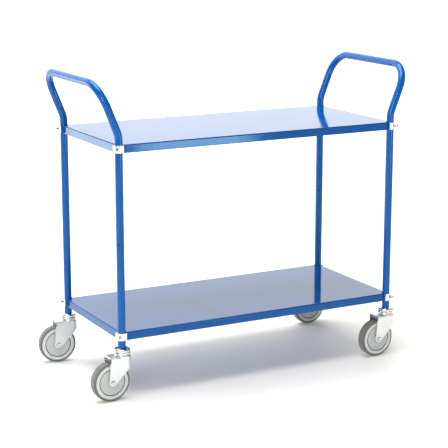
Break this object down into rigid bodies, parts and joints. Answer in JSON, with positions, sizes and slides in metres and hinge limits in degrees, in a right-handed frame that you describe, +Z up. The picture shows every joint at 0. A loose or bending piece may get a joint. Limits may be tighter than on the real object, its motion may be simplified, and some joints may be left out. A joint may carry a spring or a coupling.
{
  "type": "platform trolley",
  "caption": "Shelf trolley: two sheet shelves clamped between bent tube end frames that form raised handles, on swivel castors.",
  "frame": {"origin": "on the floor, under the middle of the whole trolley's outer box with its castors at rest; the middle of the shelves is 14.5 mm to the right of it and 3.3 mm to the front", "axes": "+X along the long side towards the right handle, +Y towards the rear, +Z up"},
  "size_m": [1.1673, 0.5104, 1.0014],
  "materials": {
    "frame_enamel": "glossy blue powder coat on steel tube",
    "shelf_enamel": "glossy smooth blue powder coat on sheet steel",
    "zinc_clamp": "bright zinc plated pressed steel",
    "zinc_fastener": "bright zinc plated fastener",
    "zinc_castor": "bright zinc plated pressed steel castor",
    "tyre_rubber": "matt grey non-marking rubber",
    "core_plastic": "satin light grey moulded plastic",
    "insert_plastic": "black moulded plastic"
  },
  "bodies": {
    "frame": {"left_frame": "frame_enamel", "right_frame": "frame_enamel", "upper_shelf": "shelf_enamel", "lower_shelf": "shelf_enamel", "clamp_upper_front_left": "zinc_clamp", "bolt_upper_front_left": "zinc_fastener", "cap_nut_upper_front_left": "zinc_fastener", "clamp_upper_front_right": "zinc_clamp", "bolt_upper_front_right": "zinc_fastener", "cap_nut_upper_front_right": "zinc_fastener", "clamp_upper_rear_left": "zinc_clamp", "bolt_upper_rear_left": "zinc_fastener", "cap_nut_upper_rear_left": "zinc_fastener", "clamp_upper_rear_right": "zinc_clamp", "bolt_upper_rear_right": "zinc_fastener", "cap_nut_upper_rear_right": "zinc_fastener", "clamp_lower_front_left": "zinc_clamp", "bolt_lower_front_left": "zinc_fastener", "cap_nut_lower_front_left": "zinc_fastener", "clamp_lower_front_right": "zinc_clamp", "bolt_lower_front_right": "zinc_fastener", "cap_nut_lower_front_right": "zinc_fastener", "clamp_lower_rear_left": "zinc_clamp", "bolt_lower_rear_left": "zinc_fastener", "cap_nut_lower_rear_left": "zinc_fastener", "clamp_lower_rear_right": "zinc_clamp", "bolt_lower_rear_right": "zinc_fastener", "cap_nut_lower_rear_right": "zinc_fastener", "leg_insert_front_left": "insert_plastic", "swivel_head_front_left": "zinc_castor", "king_bolt_front_left": "zinc_fastener", "leg_insert_front_right": "insert_plastic", "swivel_head_front_right": "zinc_castor", "king_bolt_front_right": "zinc_fastener", "leg_insert_rear_left": "insert_plastic", "swivel_head_rear_left": "zinc_castor", "king_bolt_rear_left": "zinc_fastener", "leg_insert_rear_right": "insert_plastic", "swivel_head_rear_right": "zinc_castor", "king_bolt_rear_right": "zinc_fastener"},
    "swivel_front_left": {"fork_front_left": "zinc_castor", "axle_bolt_front_left": "zinc_fastener", "axle_nut_front_left": "zinc_fastener"},
    "wheel_front_left": {"wheel_core_front_left": "core_plastic", "tyre_front_left": "tyre_rubber"},
    "swivel_front_right": {"fork_front_right": "zinc_castor", "axle_bolt_front_right": "zinc_fastener", "axle_nut_front_right": "zinc_fastener"},
    "wheel_front_right": {"wheel_core_front_right": "core_plastic", "tyre_front_right": "tyre_rubber"},
    "swivel_rear_left": {"fork_rear_left": "zinc_castor", "axle_bolt_rear_left": "zinc_fastener", "axle_nut_rear_left": "zinc_fastener"},
    "wheel_rear_left": {"wheel_core_rear_left": "core_plastic", "tyre_rear_left": "tyre_rubber"},
    "swivel_rear_right": {"fork_rear_right": "zinc_castor", "axle_bolt_rear_right": "zinc_fastener", "axle_nut_rear_right": "zinc_fastener"},
    "wheel_rear_right": {"wheel_core_rear_right": "core_plastic", "tyre_rear_right": "tyre_rubber"}
  },
  "joints": [
    {"name": "swivel_front_left_turn", "type": "hinge", "parent": "frame", "child": "swivel_front_left", "pos_m": [-0.479, -0.2246, 0.143], "axis": [0, 0, 1], "continuous": true},
    {"name": "wheel_front_left_spin", "type": "hinge", "parent": "swivel_front_left", "child": "wheel_front_left", "pos_m": [-0.52097, -0.22607, 0.0625], "axis": [0.0349, -0.9994, 0], "continuous": true},
    {"name": "swivel_front_right_turn", "type": "hinge", "parent": "frame", "child": "swivel_front_right", "pos_m": [0.508, -0.2246, 0.143], "axis": [0, 0, 1], "continuous": true},
    {"name": "wheel_front_right_spin", "type": "hinge", "parent": "swivel_front_right", "child": "wheel_front_right", "pos_m": [0.46606, -0.2268, 0.0625], "axis": [0.0523, -0.9986, 0], "continuous": true},
    {"name": "swivel_rear_left_turn", "type": "hinge", "parent": "frame", "child": "swivel_rear_left", "pos_m": [-0.479, 0.218, 0.143], "axis": [0, 0, 1], "continuous": true},
    {"name": "wheel_rear_left_spin", "type": "hinge", "parent": "swivel_rear_left", "child": "wheel_rear_left", "pos_m": [-0.52069, 0.22312, 0.0625], "axis": [-0.1219, -0.9925, 0], "continuous": true},
    {"name": "swivel_rear_right_turn", "type": "hinge", "parent": "frame", "child": "swivel_rear_right", "pos_m": [0.508, 0.218, 0.143], "axis": [0, 0, 1], "continuous": true},
    {"name": "wheel_rear_right_spin", "type": "hinge", "parent": "swivel_rear_right", "child": "wheel_rear_right", "pos_m": [0.46601, 0.21727, 0.0625], "axis": [0.0175, -0.9998, 0], "continuous": true}
  ]
}
